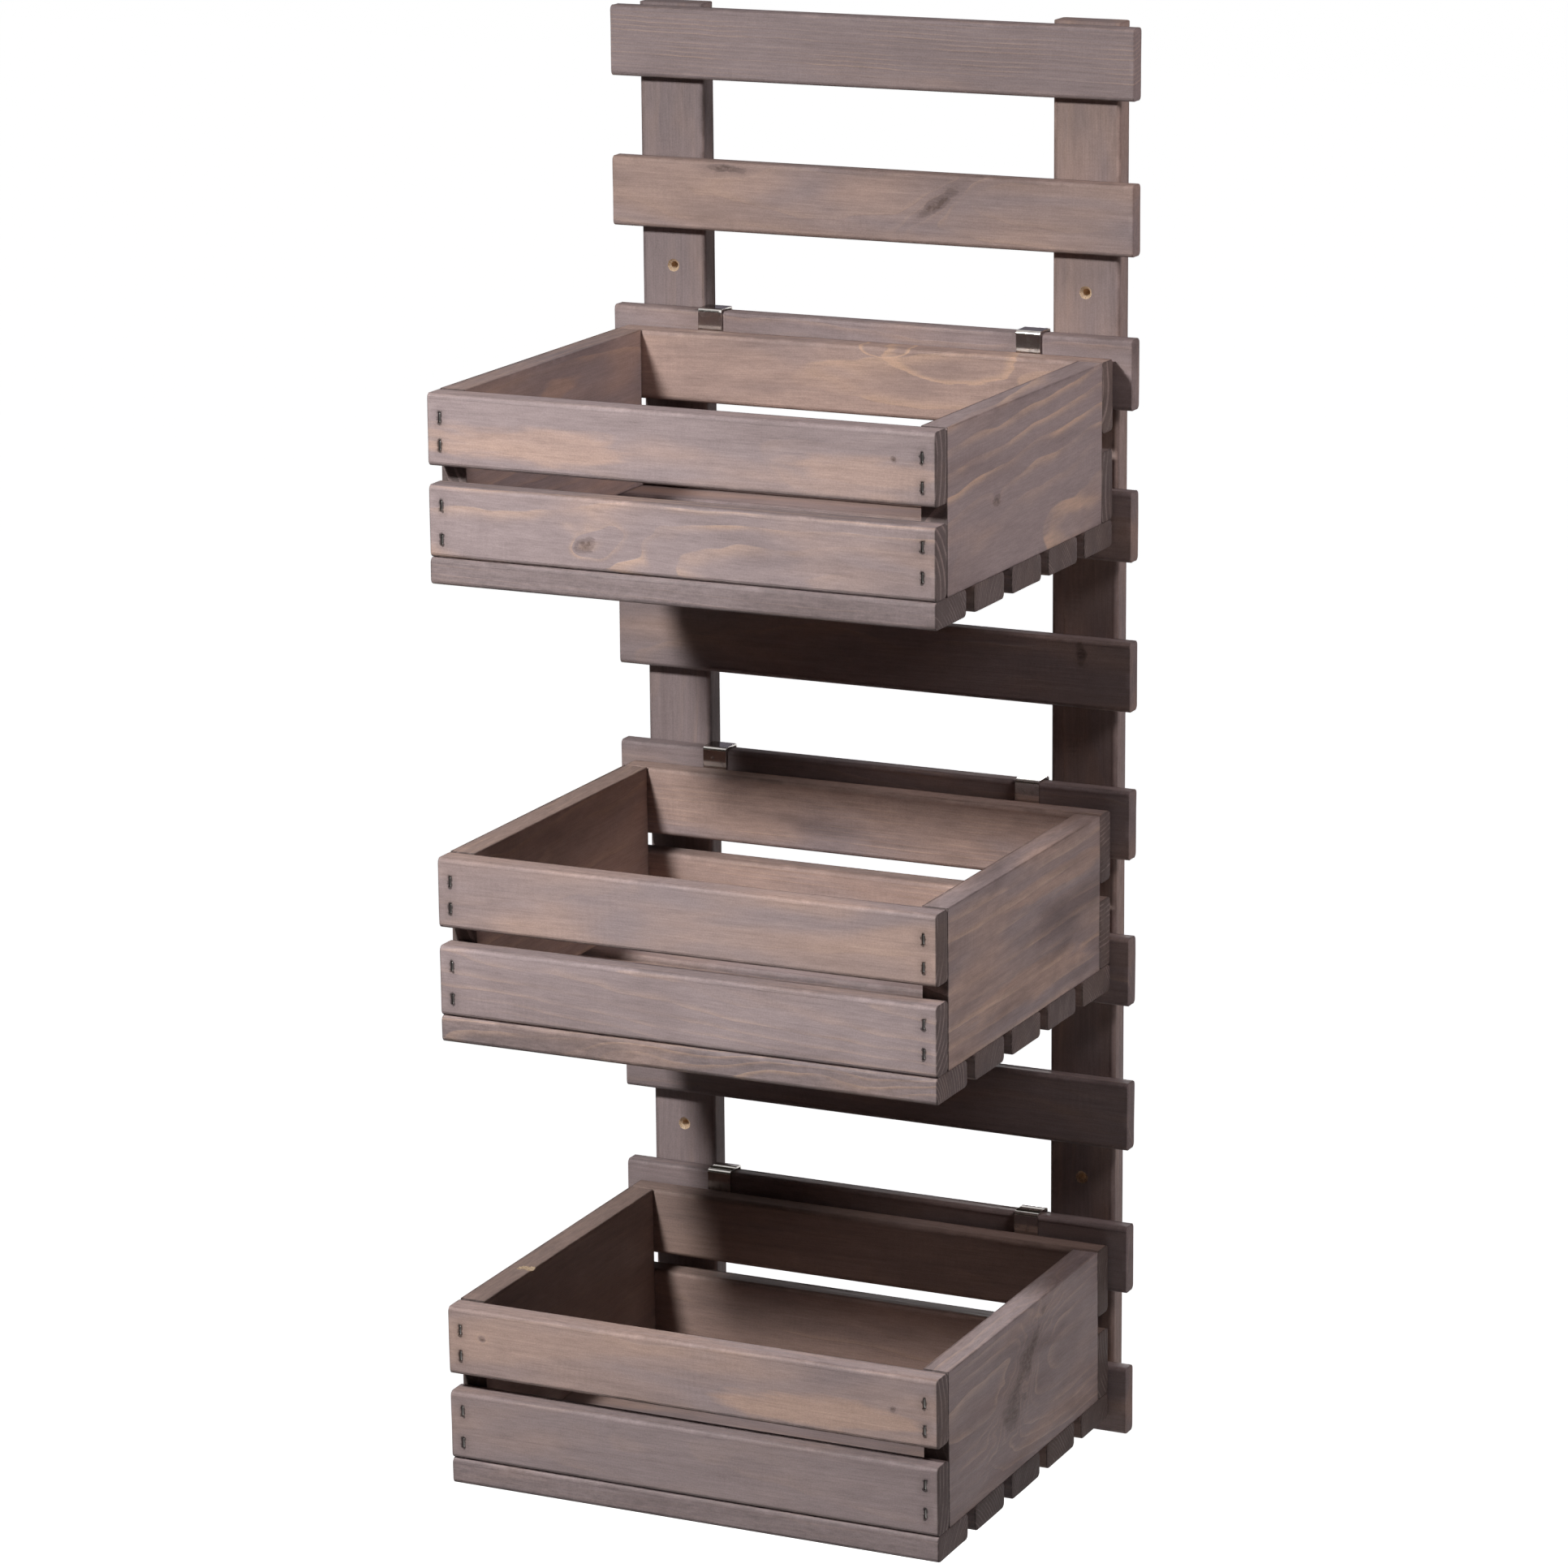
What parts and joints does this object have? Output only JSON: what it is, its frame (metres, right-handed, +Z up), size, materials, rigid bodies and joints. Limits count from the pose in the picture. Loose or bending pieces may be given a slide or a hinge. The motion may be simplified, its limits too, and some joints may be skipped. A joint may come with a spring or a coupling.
{
  "type": "wall-mounted plant ladder",
  "caption": "Slatted wooden wall ladder with open slatted crates hung on its rails by flat steel hooks; each crate lifts off.",
  "frame": {"origin": "on the wall plane, at the middle of the four wall screw holes", "axes": "+Z up, +X to the right as seen from the room, +Y into the wall"},
  "size_m": [0.38, 0.3192, 0.963],
  "materials": {
    "ladder_wood": "satin stained softwood",
    "crate_wood": "satin stained softwood",
    "hook_steel": "bright zinc plate",
    "screw_steel": "zinc plate",
    "staple_steel": "dull wire"
  },
  "bodies": {
    "ladder": {"left_stile": "ladder_wood", "right_stile": "ladder_wood", "rail_01": "ladder_wood", "rail_02": "ladder_wood", "rail_03": "ladder_wood", "rail_04": "ladder_wood", "rail_05": "ladder_wood", "rail_06": "ladder_wood", "rail_07": "ladder_wood", "rail_08": "ladder_wood", "rail_09": "ladder_wood", "rail_10": "ladder_wood", "left_rail_staples": "staple_steel", "right_rail_staples": "staple_steel"},
    "crate_1": {"crate_1_left_panel": "crate_wood", "crate_1_right_panel": "crate_wood", "crate_1_front_upper_slat": "crate_wood", "crate_1_front_lower_slat": "crate_wood", "crate_1_back_upper_slat": "crate_wood", "crate_1_back_lower_slat": "crate_wood", "crate_1_bottom_slat_1": "crate_wood", "crate_1_bottom_slat_2": "crate_wood", "crate_1_bottom_slat_3": "crate_wood", "crate_1_bottom_slat_4": "crate_wood", "crate_1_bottom_slat_5": "crate_wood", "crate_1_left_hook": "hook_steel", "crate_1_right_hook": "hook_steel", "crate_1_hook_screws": "screw_steel", "crate_1_staples": "staple_steel"},
    "crate_2": {"crate_2_left_panel": "crate_wood", "crate_2_right_panel": "crate_wood", "crate_2_front_upper_slat": "crate_wood", "crate_2_front_lower_slat": "crate_wood", "crate_2_back_upper_slat": "crate_wood", "crate_2_back_lower_slat": "crate_wood", "crate_2_bottom_slat_1": "crate_wood", "crate_2_bottom_slat_2": "crate_wood", "crate_2_bottom_slat_3": "crate_wood", "crate_2_bottom_slat_4": "crate_wood", "crate_2_bottom_slat_5": "crate_wood", "crate_2_left_hook": "hook_steel", "crate_2_right_hook": "hook_steel", "crate_2_hook_screws": "screw_steel", "crate_2_staples": "staple_steel"},
    "crate_3": {"crate_3_left_panel": "crate_wood", "crate_3_right_panel": "crate_wood", "crate_3_front_upper_slat": "crate_wood", "crate_3_front_lower_slat": "crate_wood", "crate_3_back_upper_slat": "crate_wood", "crate_3_back_lower_slat": "crate_wood", "crate_3_bottom_slat_1": "crate_wood", "crate_3_bottom_slat_2": "crate_wood", "crate_3_bottom_slat_3": "crate_wood", "crate_3_bottom_slat_4": "crate_wood", "crate_3_bottom_slat_5": "crate_wood", "crate_3_left_hook": "hook_steel", "crate_3_right_hook": "hook_steel", "crate_3_hook_screws": "screw_steel", "crate_3_staples": "staple_steel"}
  },
  "joints": [
    {"name": "crate_1_lift", "type": "slide", "parent": "ladder", "child": "crate_1", "axis": [0, 0, 1], "range_m": [0, 0.04]},
    {"name": "crate_2_lift", "type": "slide", "parent": "ladder", "child": "crate_2", "axis": [0, 0, 1], "range_m": [0, 0.04]},
    {"name": "crate_3_lift", "type": "slide", "parent": "ladder", "child": "crate_3", "axis": [0, 0, 1], "range_m": [0, 0.04]}
  ]
}
